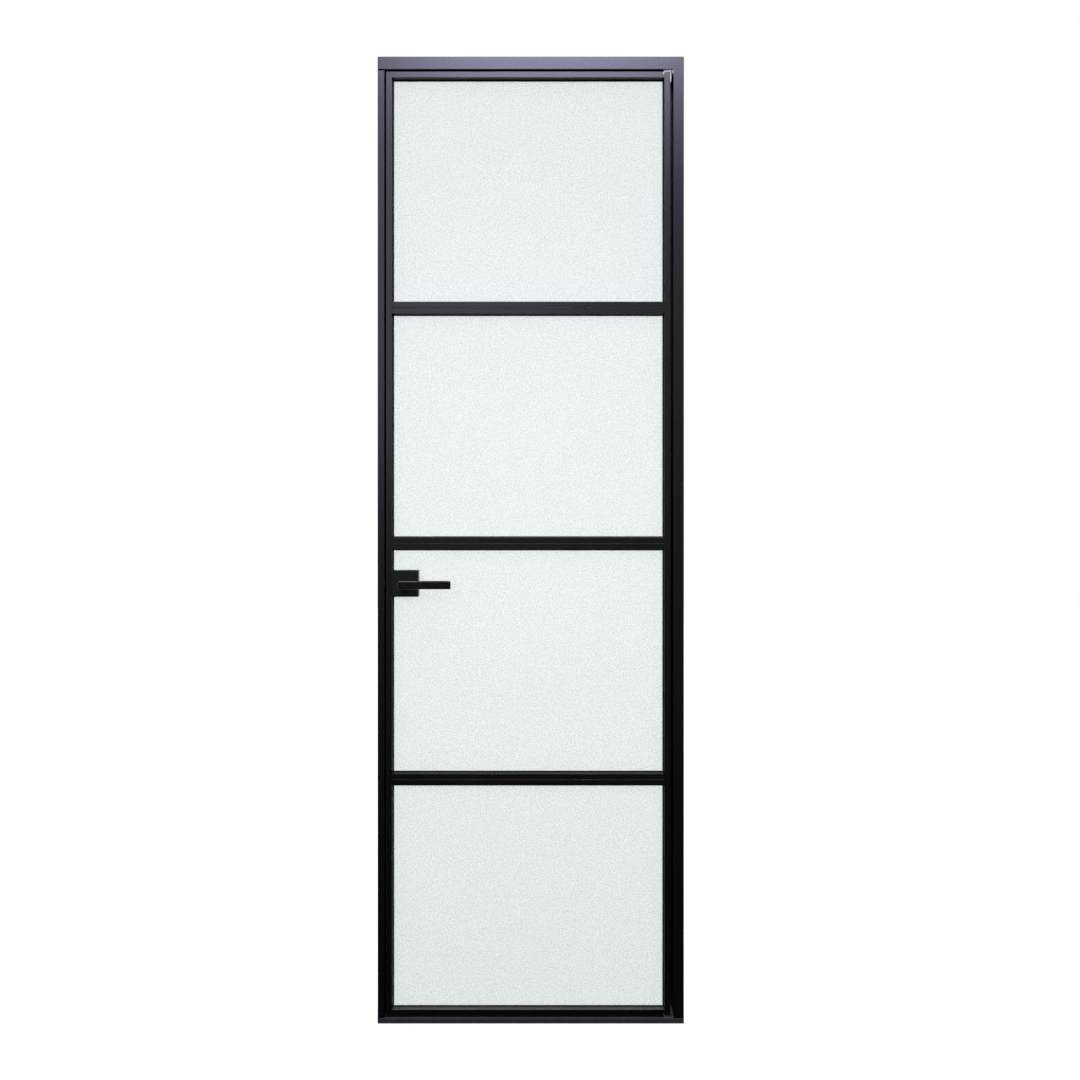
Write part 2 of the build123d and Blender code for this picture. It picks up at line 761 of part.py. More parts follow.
def make_strap():
    """Pivot strap of the leaf's top corner: over the stile, down its edge, hooked into the rail."""
    right = leaf_right + plate_thickness
    top = leaf_top + plate_thickness
    low = leaf_top - strap_flange
    hook_low = top - strap_hook
    outer = flat(hook_left(), right, low, top)
    inner = flat(hook_left() + plate_thickness, leaf_right, low, leaf_top)
    corner = outer.vertices().sort_by(Axis.Y)[-2:].sort_by(Axis.X)
    outer = fillet(corner[0], strap_bend)
    corner = inner.vertices().sort_by(Axis.Y)[-2:].sort_by(Axis.X)
    inner = fillet(corner[0], strap_bend - plate_thickness)
    short = flat(hook_left() - 1, sight_right, low - 1, hook_low)
    profile = outer - inner - short
    strap = extrude(Plane.XZ * profile, amount=half_leaf, both=True)
    strap = strap - rod((pivot_x, pivot_y, leaf_top - 1), (0, 0, 1), pin_radius + free_gap, 4)
    sink = countersunk(small_screw_radius, small_screw_length, running)
    for z, y in strap_screw_places():
        strap = strap - aim((right, y, z), (1, 0, 0)) * sink
    return strap


def make_strap_screws():
    """Countersunk screws that hold both straps to the stile's edge."""
    right = leaf_right + plate_thickness
    screw = socketed(small_screw_radius, small_screw_length)
    return [aim((right, y, z), (1, 0, 0)) * screw for z, y in strap_screw_places()]


def make_pivot_plate():
    """Pivot plate under the head: flat above the leaf, with a short upturn against the jamb."""
    bottom = head_bottom - plate_thickness
    flat_part = block(hook_left(), hinge_face_x, -half_leaf, half_leaf, bottom, head_bottom)
    upturn = block(hinge_face_x - plate_thickness, hinge_face_x, -half_leaf, half_leaf,
                   head_bottom - plate_upturn, head_bottom)
    plate = flat_part + upturn
    plate = plate - rod((pivot_x, pivot_y, bottom - 1), (0, 0, 1), pin_radius + press, plate_thickness + 2)
    sink = countersunk(small_screw_radius, small_screw_length, running)
    for y in plate_screw_depths():
        plate = plate - aim((pivot_x, y, bottom), (0, 0, -1)) * sink
    return plate


def frame_middle():
    """Mirror plane that takes the frame's top pivot parts to the threshold."""
    return Plane(origin=(0, 0, (head_bottom + threshold_height) / 2), z_dir=(0, 0, 1))


def make_plate_screws():
    """Countersunk screws that hold the pivot plates to the head and the threshold."""
    bottom = head_bottom - plate_thickness
    upper = [aim((pivot_x, y, bottom), (0, 0, -1)) * socketed(small_screw_radius, small_screw_length)
             for y in plate_screw_depths()]
    return upper + [screw.mirror(frame_middle()) for screw in upper]


def make_pin():
    """Pivot pin riveted in the top plate and reaching down into the leaf's bush."""
    pin = rod((pivot_x, pivot_y, head_bottom), (0, 0, -1), pin_radius, top_gap + pin_depth)
    return chamfer(pin.edges().sort_by(Axis.Z)[0], pin_bevel)


def make_bush():
    """Bush in the leaf's top corner."""
    return tube((pivot_x, pivot_y, leaf_top), (0, 0, -1), bush_radius, pin_radius + running, bush_length)


def make_washer(bottom):
    """Thrust washer on a pivot pin."""
    return tube((pivot_x, pivot_y, bottom), (0, 0, 1), washer_radius, pin_radius + slip, thrust_washer)


def make_pivot_block(z_side):
    """Cast corner block in the front chambers at the hinge side, bored for the pivot bush."""
    return leaf_cleat(1, z_side, pivot_block_arm, True) - bush_holes() - hook_notches()


# Lock and levers

def faceplate_screw_heights():
    """Heights of the two screws in the lock's faceplate."""
    return [handle_height - faceplate_screw_offset, handle_height + faceplate_screw_offset]


def strike_screw_heights():
    """Heights of the two screws in the strike plate."""
    offset = strike_height / 2 - strike_screw_inset
    return [handle_height - offset, handle_height + offset]


def strike_box_halves():
    """Half width and half height of the strike box."""
    around = bolt_play + strike_box_wall
    return bolt_thickness / 2 + around, bolt_height / 2 + around


def make_strike_plate():
    """Strike plate let into the lock jamb, with the bolt's window and a lip that bridges the gap in front."""
    back = lock_face_x - strike_thickness
    plate = block(back, lock_face_x, -strike_width / 2 + slip, strike_width / 2 - slip,
                  handle_height - strike_height / 2 + slip, handle_height + strike_height / 2 - slip)
    half_y, half_z = strike_box_halves()
    window = block(back - 1, lock_face_x + 1, -half_y + strike_box_wall, half_y - strike_box_wall,
                   handle_height - half_z + strike_box_wall, handle_height + half_z - strike_box_wall)
    plate = plate - window
    lip = block(lock_face_x, lock_face_x + strike_lip_rise, frame_front + strike_lip_inset,
                -strike_width / 2 + strike_lip_overlap, handle_height - strike_lip_height / 2,
                handle_height + strike_lip_height / 2)
    lip = chamfer(lip.edges().filter_by(Axis.Z).group_by(Axis.X)[-1], strike_lip_rise / 2)
    plate = plate + lip
    for z in strike_screw_heights():
        hole = countersunk(strike_screw_radius, small_screw_length, running)
        plate = plate - aim((lock_face_x, 0, z), (1, 0, 0)) * hole
    return plate


def make_strike_screws():
    """Countersunk screws of the strike plate."""
    screw = socketed(strike_screw_radius, small_screw_length)
    return [aim((lock_face_x, 0, z), (1, 0, 0)) * screw for z in strike_screw_heights()]


def strike_floor():
    """Left face of the strike box, against the jamb's outer wall."""
    return -half_width + frame_wall + slip


def make_strike_box():
    """Moulded box behind the strike plate that keeps dust off the bolt's pocket."""
    half_y, half_z = strike_box_halves()
    left = strike_floor()
    right = lock_face_x - strike_thickness
    box = block(left, right, -half_y, half_y, handle_height - half_z, handle_height + half_z)
    wall = strike_box_wall
    hollow = block(left + wall, right + 1, -half_y + wall, half_y - wall,
                   handle_height - half_z + wall, handle_height + half_z - wall)
    return box - hollow


def make_magnet():
    """Magnet on the strike box's floor that draws the bolt out when the leaf is shut."""
    left = strike_floor() + strike_box_wall
    half = bolt_height / 2
    return block(left, left + magnet_thickness, -bolt_thickness / 2, bolt_thickness / 2,
                 handle_height - half, handle_height + half)


def make_faceplate():
    """Faceplate let into the lock stile's edge around the bolt."""
    plate = block(leaf_left, leaf_left + faceplate_thickness, -faceplate_width / 2 + slip,
                  faceplate_width / 2 - slip, handle_height - faceplate_height / 2 + slip,
                  handle_height + faceplate_height / 2 - slip)
    plate = plate - bolt_channel(free_gap)
    hole = countersunk(bar_screw_radius, faceplate_screw_length, running)
    for z in faceplate_screw_heights():
        plate = plate - aim((leaf_left, 0, z), (-1, 0, 0)) * hole
    return plate


def make_faceplate_screws():
    """Countersunk screws through the faceplate and the stile into the lock case."""
    screw = socketed(bar_screw_radius, faceplate_screw_length)
    return [aim((leaf_left, 0, z), (-1, 0, 0)) * screw for z in faceplate_screw_heights()]


def bolt_channel(gap):
    """The space that the bolt slides in, with a gap on each side."""
    return block(bolt_nose - bolt_travel, bolt_nose + bolt_length + 1, -bolt_thickness / 2 - gap,
                 bolt_thickness / 2 + gap, handle_height - bolt_height / 2 - gap,
                 handle_height + bolt_height / 2 + gap)


def make_bolt():
    """Latch bolt, drawn back so that only its nose shows at the faceplate, with both nose edges bevelled."""
    bolt = block(bolt_nose, bolt_nose + bolt_length, -bolt_thickness / 2, bolt_thickness / 2,
                 handle_height - bolt_height / 2, handle_height + bolt_height / 2)
    nose = bolt.edges().group_by(Axis.X)[0].filter_by(Axis.Z)
    return chamfer(nose, bolt_thickness / 4)


def make_case():
    """Lock case: a cast block in the glass notch, bored for the follower and channelled for the bolt."""
    half = rose_size / 2 - rose_wall - slip
    case = block(rose_x - half, rose_x + half, -case_half_depth, case_half_depth,
                 handle_height - case_half_height, handle_height + case_half_height)
    neck = block(sight_left, rose_x - half, -case_neck_depth / 2, case_neck_depth / 2,
                 handle_height - case_neck_height / 2, handle_height + case_neck_height / 2)
    case = case + neck - bolt_channel(free_gap)
    hub = 2 * (case_half_depth - case_wall)
    case = case - rod((rose_x, -hub / 2, handle_height), (0, 1, 0), follower_radius + free_gap, hub)
    case = case - rod((rose_x, -case_half_depth, handle_height), (0, 1, 0),
                      follower_trunnion + running, 2 * case_half_depth)
    for side in (-1, 1):
        z = handle_height + side * rose_screw_offset
        case = case - rod((rose_x, -case_half_depth, z), (0, 1, 0), sleeve_radius + slip, 2 * case_half_depth)
    for z in faceplate_screw_heights():
        case = case - rod((sight_left, 0, z), (1, 0, 0), bar_screw_radius + running, faceplate_screw_bore)
    return case


def rose_shell():
    """Rose of the front side: a square cast cup with a raised face, open to the lock case."""
    half = rose_size / 2
    z0 = handle_height - half
    z1 = handle_height + half
    cup = block(rose_left, rose_left + rose_size, -rose_shoulder, -rose_back, z0, z1)
    front = cup.edges().group_by(Axis.Y)[0]
    cup = chamfer(front, rose_bevel)
    face = extrude(RectangleRounded(rose_size - 2 * rose_step, rose_size - 2 * rose_step, rose_corner),
                   amount=rose_step_height)
    face = aim((rose_x, -rose_shoulder, handle_height), (0, -1, 0)) * face
    face = fillet(face.edges().group_by(Axis.Y)[0], rose_face_round)
    inside = half - rose_wall
    hollow = block(rose_x - inside, rose_x + inside, -rose_front + rose_face_wall, -rose_back + 1,
                   handle_height - inside, handle_height + inside)
    window = block(rose_left - 1, rose_left + rose_wall + 1, -case_neck_depth / 2 - slip, -rose_back + 1,
                   handle_height - case_neck_height / 2 - slip, handle_height + case_neck_height / 2 + slip)
    shell = cup + face - hollow - window
    bore = rod((rose_x, -rose_front - 1, handle_height), (0, 1, 0), neck_radius + free_gap, rose_face_wall + 2)
    seat = rod((rose_x, bush_front, handle_height), (0, 1, 0), lever_bush_radius + running, rose_face_wall)
    return shell - bore - seat


def make_front_rose():
    """Front rose, countersunk for its two screws."""
    rose = rose_shell()
    for side in (-1, 1):
        z = handle_height + side * rose_screw_offset
        hole = countersunk(rose_screw_radius, rose_front, running)
        rose = rose - aim((rose_x, -rose_front, z), (0, -1, 0)) * hole
    return rose


def make_rear_rose():
    """Rear rose, bored for the sleeve nuts."""
    rose = rose_shell().mirror(Plane.XZ)
    for side in (-1, 1):
        z = handle_height + side * rose_screw_offset
        rose = rose - rod((rose_x, 0, z), (0, 1, 0), sleeve_radius + running, rose_front + 1)
        head = sleeve_radius + sleeve_head_rise + running
        rose = rose - rod((rose_x, rose_front - sleeve_head_height, z), (0, 1, 0), head, sleeve_head_height + 1)
    return rose


def make_rose_screws():
    """Screws from the front rose through the lock case into the sleeve nuts."""
    screw = socketed(rose_screw_radius, 2 * rose_front - rose_screw_short)
    return [aim((rose_x, -rose_front, handle_height + side * rose_screw_offset), (0, -1, 0)) * screw
            for side in (-1, 1)]


def make_sleeve_nuts():
    """Sleeve nuts from the rear rose."""
    nuts = []
    for side in (-1, 1):
        z = handle_height + side * rose_screw_offset
        nut = rod((rose_x, 0, z), (0, 1, 0), sleeve_radius, rose_front)
        head = (rose_x, rose_front - sleeve_head_height, z)
        nut = nut + rod(head, (0, 1, 0), sleeve_radius + sleeve_head_rise, sleeve_head_height)
        bore = rose_screw_radius + running
        nut = nut - rod((rose_x, -1, z), (0, 1, 0), bore, rose_front - sleeve_cap + 1)
        nuts.append(nut)
    return nuts


def make_lever_bush():
    """Nylon bush in the front rose that the lever's neck turns in."""
    start = (rose_x, bush_front, handle_height)
    return tube(start, (0, 1, 0), lever_bush_radius, neck_radius + running, lever_bush_length)


def make_clip():
    """Clip ring in the neck's groove, behind the front bush."""
    ring = tube((rose_x, clip_front, handle_height), (0, 1, 0), neck_radius + clip_rise,
                neck_radius - clip_groove + running, clip_thickness)
    gap = block(rose_x - clip_opening / 2, rose_x + clip_opening / 2, clip_front - 1,
                clip_front + clip_thickness + 1, handle_height, handle_height + 2 * neck_radius)
    return ring - gap


def make_lever():
    """Front lever: a flat grip, bowed between its ends, on a round neck bored for the spindle."""
    left = rose_x - lever_heel
    right = rose_x + lever_reach
    middle = (left + right) / 2
    outline = [
        ThreePointArc((left, -lever_front), (middle, -lever_front + lever_bow), (right, -lever_front)),
        Line((right, -lever_front), (right, -lever_back)),
        ThreePointArc((right, -lever_back), (middle, -lever_back + lever_bow / 2), (left, -lever_back)),
        Line((left, -lever_back), (left, -lever_front)),
    ]
    grip = Pos(0, 0, handle_height - lever_height / 2) * extrude(make_face(outline), amount=lever_height)
    grip = fillet(grip.edges(), lever_edge)
    neck = rod((rose_x, neck_end, handle_height), (0, -1, 0), neck_radius, neck_end + lever_back + neck_sink)
    groove = tube((rose_x, clip_front - running, handle_height), (0, 1, 0), neck_radius + 1,
                  neck_radius - clip_groove, clip_thickness + 2 * running)
    lever = grip + (neck - groove)
    half = spindle_size / 2 + running
    depth = spindle_reach + free_gap
    socket = block(rose_x - half, rose_x + half, -depth, neck_end + 1, handle_height - half, handle_height + half)
    lever = lever - socket
    below = handle_height - neck_radius - 1
    hole = rod((rose_x, grub_depth, below), (0, 0, 1), grub_radius + running, handle_height - below - half + slip)
    return lever - hole


def make_spindle():
    """Square spindle through both levers and the follower."""
    half = spindle_size / 2
    return block(rose_x - half, rose_x + half, -spindle_reach, spindle_reach,
                 handle_height - half, handle_height + half)


def make_grub_screws():
    """Grub screws that lock each lever to the spindle, from below the necks."""
    length = neck_radius - spindle_size / 2 - free_gap
    start = (rose_x, grub_depth, handle_height - spindle_size / 2 - length)
    screw = rod(start, (0, 0, 1), grub_radius, length)
    socket = aim(start, (0, 0, 1)) * extrude(RegularPolygon(grub_socket, 6), amount=grub_socket_depth)
    screw = screw - socket
    return [screw, screw.mirror(Plane.XZ)]


def make_follower():
    """Follower in the lock case: a hub on two trunnions, with a square hole for the spindle."""
    hub = case_half_depth - case_wall - slip
    trunnion = case_half_depth
    body = rod((rose_x, -hub, handle_height), (0, 1, 0), follower_radius, 2 * hub)
    body = body + rod((rose_x, -trunnion, handle_height), (0, 1, 0), follower_trunnion, 2 * trunnion)
    half = spindle_size / 2 + running
    return body - block(rose_x - half, rose_x + half, -trunnion - 1, trunnion + 1,
                        handle_height - half, handle_height + half)


def write(name, solids):
    """Write one node, of one solid or of several separate ones."""
    shape = solids if not isinstance(solids, list) else Compound(solids)
    export_step(shape, os.path.join("parts", name + ".step"))


def build():
    """Make every piece and write it."""
    os.makedirs("parts", exist_ok=True)
    write("head_frame", make_head())
    write("lock_jamb", make_lock_jamb())
    write("hinge_jamb", make_hinge_jamb())
    write("threshold", make_threshold())
    write("head_seal", make_head_seal())
    write("lock_jamb_seal", make_lock_seal())
    write("hinge_jamb_seal", make_hinge_seal())
    write("lock_corner_cleat", corner_cleat(-half_width, -1))
    write("hinge_corner_cleat", corner_cleat(half_width, 1))
    write("jamb_foot_screws", make_jamb_screws())
    write("strike_plate", make_strike_plate())
    write("strike_screws", make_strike_screws())
    write("strike_box", make_strike_box())
    write("strike_magnet", make_magnet())
    plate = make_pivot_plate()
    pin = make_pin()
    write("top_pivot_plate", plate)
    write("bottom_pivot_plate", plate.mirror(frame_middle()))
    write("top_pivot_pin", pin)
    write("bottom_pivot_pin", pin.mirror(frame_middle()))
    write("pivot_plate_screws", make_plate_screws())
    write("bottom_thrust_washer", make_washer(threshold_height + plate_thickness))
    write("top_thrust_washer", make_washer(leaf_top + plate_thickness))
    write("lock_stile", make_lock_stile())
    write("hinge_stile", make_hinge_stile())
    write("top_rail", make_top_rail())
    write("bottom_rail", make_bottom_rail())
    for index, z in enumerate(bar_centres()):
        write(f"glazing_bar_{index + 1}", make_bar(z))
    for index, bottom in enumerate(pane_bottoms()):
        write(f"glass_pane_{index + 1}", make_pane(bottom))
        write(f"glazing_gaskets_{index + 1}", make_gaskets(bottom))
    write("setting_blocks", make_setting_blocks())
    write("bar_screws", make_bar_screws())
    write("leaf_corner_cleats", make_leaf_cleats())
    write("top_pivot_block", make_pivot_block(1))
    write("bottom_pivot_block", make_pivot_block(-1))
    strap = make_strap()
    bush = make_bush()
    write("top_pivot_strap", strap)
    write("bottom_pivot_strap", at_foot(strap))
    write("strap_screws", make_strap_screws())
    write("pivot_bushes", [bush, at_foot(bush)])
    write("lock_case", make_case())
    write("lock_faceplate", make_faceplate())
    write("faceplate_screws", make_faceplate_screws())
    write("front_rose", make_front_rose())
    write("rear_rose", make_rear_rose())
    write("rose_screws", make_rose_screws())
    write("rose_sleeve_nuts", make_sleeve_nuts())
    lever_bush = make_lever_bush()
    write("lever_bushes", [lever_bush, lever_bush.mirror(Plane.XZ)])
    lever = make_lever()
    write("front_lever", lever)
    write("rear_lever", lever.mirror(Plane.XZ))
    clip = make_clip()
    write("lever_clips", [clip, clip.mirror(Plane.XZ)])
    write("lever_grub_screws", make_grub_screws())
    write("spindle", make_spindle())
    write("follower", make_follower())
    write("latch_bolt", make_bolt())


build()
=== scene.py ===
import math

import bmesh
import bpy
import numpy as np
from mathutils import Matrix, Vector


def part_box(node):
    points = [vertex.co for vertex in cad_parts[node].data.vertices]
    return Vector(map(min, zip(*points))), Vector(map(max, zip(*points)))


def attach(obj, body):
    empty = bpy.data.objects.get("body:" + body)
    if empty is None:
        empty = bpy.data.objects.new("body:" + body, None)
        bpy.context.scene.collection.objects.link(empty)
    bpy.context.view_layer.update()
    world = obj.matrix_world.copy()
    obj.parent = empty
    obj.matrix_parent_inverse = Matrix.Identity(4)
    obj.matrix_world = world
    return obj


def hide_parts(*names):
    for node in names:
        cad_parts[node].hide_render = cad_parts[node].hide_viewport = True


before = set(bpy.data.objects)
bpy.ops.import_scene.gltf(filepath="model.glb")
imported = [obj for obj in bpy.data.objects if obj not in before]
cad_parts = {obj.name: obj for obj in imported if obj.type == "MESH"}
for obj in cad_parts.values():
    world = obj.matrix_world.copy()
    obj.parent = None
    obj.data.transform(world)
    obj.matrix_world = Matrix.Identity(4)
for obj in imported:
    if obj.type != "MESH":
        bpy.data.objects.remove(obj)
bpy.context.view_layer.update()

# The camera stands square to the door, a little above its middle, as the photograph's does.
# The image is as wide as 2.457 m of the frame's front plane, and its centre is 1.10 m above the floor.
scene = bpy.context.scene
FRONT_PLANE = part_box("head_frame")[0].y
CAMERA_AWAY = 2.1
CAMERA_HEIGHT = 1.165
VIEW_WIDTH = 2.457
VIEW_CENTRE = (0.021, 1.100)
SENSOR = 36.0
camera = bpy.data.objects.new("camera", bpy.data.cameras.new("camera"))
scene.collection.objects.link(camera)
camera.location = (VIEW_CENTRE[0], FRONT_PLANE - CAMERA_AWAY, CAMERA_HEIGHT)
camera.rotation_euler = (math.radians(90), 0, 0)
camera.data.sensor_width = SENSOR
camera.data.lens = SENSOR * CAMERA_AWAY / VIEW_WIDTH
camera.data.shift_y = (VIEW_CENTRE[1] - CAMERA_HEIGHT) / VIEW_WIDTH
camera.data.clip_start = 0.01
scene.camera = camera
scene.view_settings.view_transform = "Standard"


def linear(hex_colour):
    """An sRGB hex colour as linear red, green and blue and an alpha of 1: each channel above 0.04045 is
    ((c + 0.055) / 1.055) ** 2.4, and below it c / 12.92."""
    channels = [int(hex_colour[i:i + 2], 16) / 255 for i in (1, 3, 5)]
    return [((c + 0.055) / 1.055) ** 2.4 if c > 0.04045 else c / 12.92 for c in channels] + [1.0]


def add_node(tree, kind, settings=None, inputs=None):
    """Adds one node. settings are its own properties; inputs are its sockets by name or number, each given
    a value or another node's output to link from."""
    node = tree.nodes.new(kind)
    for name, value in (settings or {}).items():
        setattr(node, name, value)
    for name, value in (inputs or {}).items():
        if isinstance(value, bpy.types.NodeSocket):
            tree.links.new(value, node.inputs[name])
        else:
            node.inputs[name].default_value = value
    return node


# The studio is a white room. The camera sees its white wall, and everything else sees the wall behind the
# door bright and the side in front dim, darker towards the floor, so the black members fade downwards.
DIM_FRONT, BRIGHT_FRONT, WHITE_WALL = 0.012, 0.24, 1.0
DIM_BELOW, BRIGHT_ABOVE = -0.42, 0.22
FRONT_UP_TO, BEHIND_FROM = -0.1, 0.35
world = bpy.data.worlds.new("white_room")
scene.world = world
world.use_nodes = True
sky = world.node_tree
sky.nodes.clear()
direction = add_node(sky, "ShaderNodeTexCoord").outputs["Generated"]
towards = add_node(sky, "ShaderNodeSeparateXYZ", inputs={0: direction}).outputs
front = add_node(sky, "ShaderNodeMapRange", {"interpolation_type": "SMOOTHSTEP"}, {
    "Value": towards["Z"], "From Min": DIM_BELOW, "From Max": BRIGHT_ABOVE,
    "To Min": DIM_FRONT, "To Max": BRIGHT_FRONT}).outputs[0]
behind = add_node(sky, "ShaderNodeMapRange", {"interpolation_type": "SMOOTHSTEP"}, {
    "Value": towards["Y"], "From Min": FRONT_UP_TO, "From Max": BEHIND_FROM}).outputs[0]
strength = add_node(sky, "ShaderNodeMix", {"data_type": "FLOAT"}, {
    0: behind, 2: front, 3: WHITE_WALL}).outputs[0]
room = add_node(sky, "ShaderNodeBackground", inputs={"Color": linear("#ffffff"), "Strength": strength})
wall = add_node(sky, "ShaderNodeBackground", inputs={"Color": linear("#ffffff"), "Strength": WHITE_WALL})
seen = add_node(sky, "ShaderNodeLightPath").outputs["Is Camera Ray"]
both = add_node(sky, "ShaderNodeMixShader", inputs={0: seen, 1: room.outputs[0], 2: wall.outputs[0]})
add_node(sky, "ShaderNodeOutputWorld", inputs={"Surface": both.outputs[0]})


def softbox(name, left, right, bottom, top, away, radiance, colour):
    """A rectangular soft light that stands upright at y = -away and faces the door. Its watts are the
    radiance times pi times its area."""
    light = bpy.data.lights.new(name, "AREA")
    light.shape = "RECTANGLE"
    light.size, light.size_y = right - left, top - bottom
    light.energy = radiance * math.pi * (right - left) * (top - bottom)
    light.color = colour
    holder = bpy.data.objects.new(name, light)
    scene.collection.objects.link(holder)
    holder.location = ((left + right) / 2, -away, (bottom + top) / 2)
    holder.rotation_euler = (math.radians(90), 0, 0)
    holder.visible_camera = False
    return holder


# The high softbox is what the head and the tops of the jambs mirror; the low one fills the left side. Both are
# cool, which gives the black coat its slight blue.
SOFTBOX_AWAY = 4.05
high_softbox = softbox("high_softbox", left=-1.0, right=1.2, bottom=4.45, top=5.8,
                       away=SOFTBOX_AWAY, radiance=36.0, colour=(0.71, 0.71, 1.0))
softbox("left_softbox", left=-1.75, right=0.15, bottom=1.5, top=3.9,
        away=SOFTBOX_AWAY, radiance=1.35, colour=(0.78, 0.83, 1.0))


# Floor: a pale matt sheet just under the door, wide enough for every view. It is left out of reflections and
# of bounced light, so that it doesn't tint the coat.
FLOOR_HALF = 9.0
FLOOR_DROP = 0.0005


def material(name):
    """A new material by its real finish, with its shader tree and its Principled shader."""
    made = bpy.data.materials.new(name)
    made.use_nodes = True
    tree = made.node_tree
    return made, tree, tree.nodes["Principled BSDF"]


def set_surface(shader, **values):
    """Sets constants on the shader's own sockets; an underscore in a name stands for a space."""
    for name, value in values.items():
        shader.inputs[name.replace("_", " ")].default_value = value


floor_mesh = bpy.data.meshes.new("floor")
floor_mesh.from_pydata([(FLOOR_HALF * x, FLOOR_HALF * y, -FLOOR_DROP)
                        for x, y in ((-1, -1), (1, -1), (1, 1), (-1, 1))], [], [(0, 1, 2, 3)])
floor = bpy.data.objects.new("floor", floor_mesh)
scene.collection.objects.link(floor)
floor.visible_glossy = False
floor.visible_diffuse = False
paper, tree, shader = material("pale_matt_floor")
set_surface(shader, Base_Color=linear("#f3f3f3"), Roughness=0.9,
            Emission_Color=linear("#ffffff"), Emission_Strength=0.6)
floor_mesh.materials.append(paper)


# Frame and leaf members: extruded aluminium, mitred, with a satin black powder coat baked on. The coat melts
# into an even skin with a fine orange peel, about 1.2 mm from crest to crest. Faces that point up are drawn
# paler and browner, partly a little dust on the ledges and partly painted light from above.
FACE_GLOSS = 0.5
FRAME_REVEAL_GLOSS = 0.45
LEAF_REVEAL_GLOSS = 0.12
# Up-facing faces are drawn paler and browner: some dust, with painted light from above in it.
DUST_AND_TOP_LIGHT_ALBEDO = ("#4b463d", "#665f55")
DUST_AND_TOP_LIGHT_GRAIN_MM = 1.5
THIN_DUST_AND_TOP_LIGHT = (0.0, 0.15)
THICK_DUST_AND_TOP_LIGHT = (0.7, 0.95)
LEVEL_FROM = 0.8
PEEL_SIZE_MM = 1.2


def grain(tree, size_mm, detail=2.0, stretch=(1.0, 1.0, 1.0)):
    """Noise on object coordinates whose cells are about size_mm across."""
    where = add_node(tree, "ShaderNodeTexCoord").outputs["Object"]
    placed = add_node(tree, "ShaderNodeMapping", inputs={"Vector": where, "Scale": stretch})
    return add_node(tree, "ShaderNodeTexNoise", inputs={
        "Vector": placed.outputs[0], "Scale": 1000.0 / size_mm, "Detail": detail}).outputs["Fac"]


def between(tree, factor, low, high):
    """Carries a pattern from its middle range, 0.3 to 0.7, to the values low to high."""
    return add_node(tree, "ShaderNodeMapRange", inputs={
        "Value": factor, "From Min": 0.3, "From Max": 0.7, "To Min": low, "To Max": high}).outputs[0]


def blended(tree, factor, one, other):
    """A colour between two colours by a pattern; each is a linear colour or another node's output."""
    return add_node(tree, "ShaderNodeMix", {"data_type": "RGBA"}, {
        "Factor": factor, 6: one, 7: other}).outputs[2]


def relief(tree, shader, pattern, depth_mm):
    """Bump of a pattern, depth_mm from its lows to its highs."""
    bump = add_node(tree, "ShaderNodeBump", inputs={"Distance": depth_mm / 1000.0, "Height": pattern})
    tree.links.new(bump.outputs[0], shader.inputs["Normal"])


def dull_reveals(tree, shader, reveal_gloss):
    """Specular level from that of the reveals to that of the faces, as the object normal turns from across the
    depth to along it."""
    normal = add_node(tree, "ShaderNodeTexCoord").outputs["Normal"]
    depth = add_node(tree, "ShaderNodeSeparateXYZ", inputs={0: normal}).outputs["Y"]
    facing = add_node(tree, "ShaderNodeMath", {"operation": "ABSOLUTE"}, {0: depth}).outputs[0]
    tree.links.new(between(tree, facing, reveal_gloss, FACE_GLOSS), shader.inputs["Specular IOR Level"])


def add_dust_and_top_light(tree, clean, dust_and_top_light):
    """The clean colour with a paler, browner colour over it where the surface faces up, partly dust and partly
    painted light from above, from the least to the most of it by patches about 75 by 30 mm: the share is the
    patch times a ramp on the normal's height, from 0 at the level's start to 1 where it points straight up."""
    normal = add_node(tree, "ShaderNodeNewGeometry").outputs["Normal"]
    up = add_node(tree, "ShaderNodeSeparateXYZ", inputs={0: normal}).outputs["Z"]
    level = add_node(tree, "ShaderNodeMapRange", inputs={
        "Value": up, "From Min": LEVEL_FROM, "From Max": 1.0}).outputs[0]
    patch = between(tree, grain(tree, size_mm=30.0, detail=4.0, stretch=(0.4, 1.0, 1.0)), *dust_and_top_light)
    share = add_node(tree, "ShaderNodeMath", {"operation": "MULTIPLY"}, {0: level, 1: patch}).outputs[0]
    dust_and_top_light_colour = blended(tree, grain(tree, size_mm=DUST_AND_TOP_LIGHT_GRAIN_MM), linear(DUST_AND_TOP_LIGHT_ALBEDO[0]), linear(DUST_AND_TOP_LIGHT_ALBEDO[1]))
    return blended(tree, share, clean, dust_and_top_light_colour)


def dress(names, finish):
    """Gives the CAD nodes of these names one finish."""
    for name in names:
        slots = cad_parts[name].data.materials
        slots.clear()
        slots.append(finish)


def powder_coat(name, reveal_gloss, dust_and_top_light):
    """The coat, with its own gloss in the reveals, which the spray reaches at a slant, and its least and most
    share of dust and painted light from above on faces that point up."""
    made, tree, shader = material(name)
    cloud = grain(tree, size_mm=45.0, detail=3.0)
    coat = blended(tree, cloud, linear("#070709"), linear("#0a0a0c"))
    tree.links.new(add_dust_and_top_light(tree, coat, dust_and_top_light), shader.inputs["Base Color"])
    tree.links.new(between(tree, cloud, 0.272, 0.284), shader.inputs["Roughness"])
    dull_reveals(tree, shader, reveal_gloss)
    relief(tree, shader, grain(tree, size_mm=PEEL_SIZE_MM), depth_mm=0.012)
    return made


